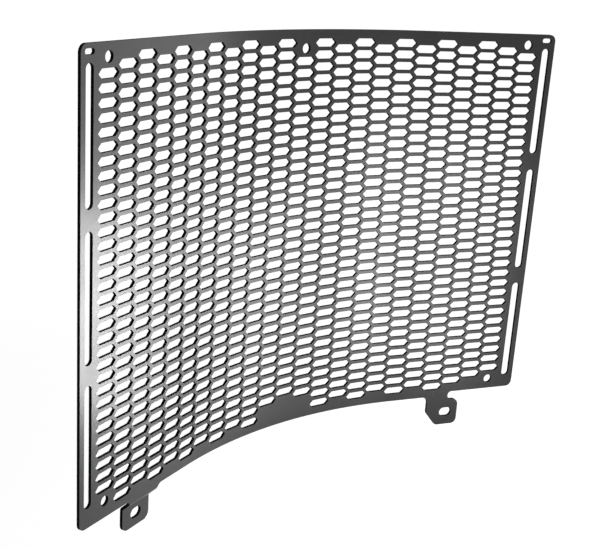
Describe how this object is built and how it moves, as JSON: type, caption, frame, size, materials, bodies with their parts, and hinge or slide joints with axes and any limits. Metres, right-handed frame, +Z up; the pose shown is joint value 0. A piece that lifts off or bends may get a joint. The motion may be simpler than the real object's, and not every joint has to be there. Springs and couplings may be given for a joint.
{
  "type": "motorcycle radiator guard",
  "caption": "Curved sheet-metal grille with a field of stretched hexagon holes, side slots and two lower fixing tabs, which shields a motorcycle radiator from stones.",
  "frame": {"origin": "centre of the top centre fixing hole, at mid-thickness of the sheet", "axes": "+Z up with the guard upright as on the motorcycle, +X to the right as seen from the front, and the hollow front face looks along -Y"},
  "size_m": [0.3698, 0.0503, 0.2881],
  "materials": {
    "coated_sheet": "satin black powder coat"
  },
  "bodies": {
    "root": {"radiator_guard": "coated_sheet"}
  },
  "joints": []
}
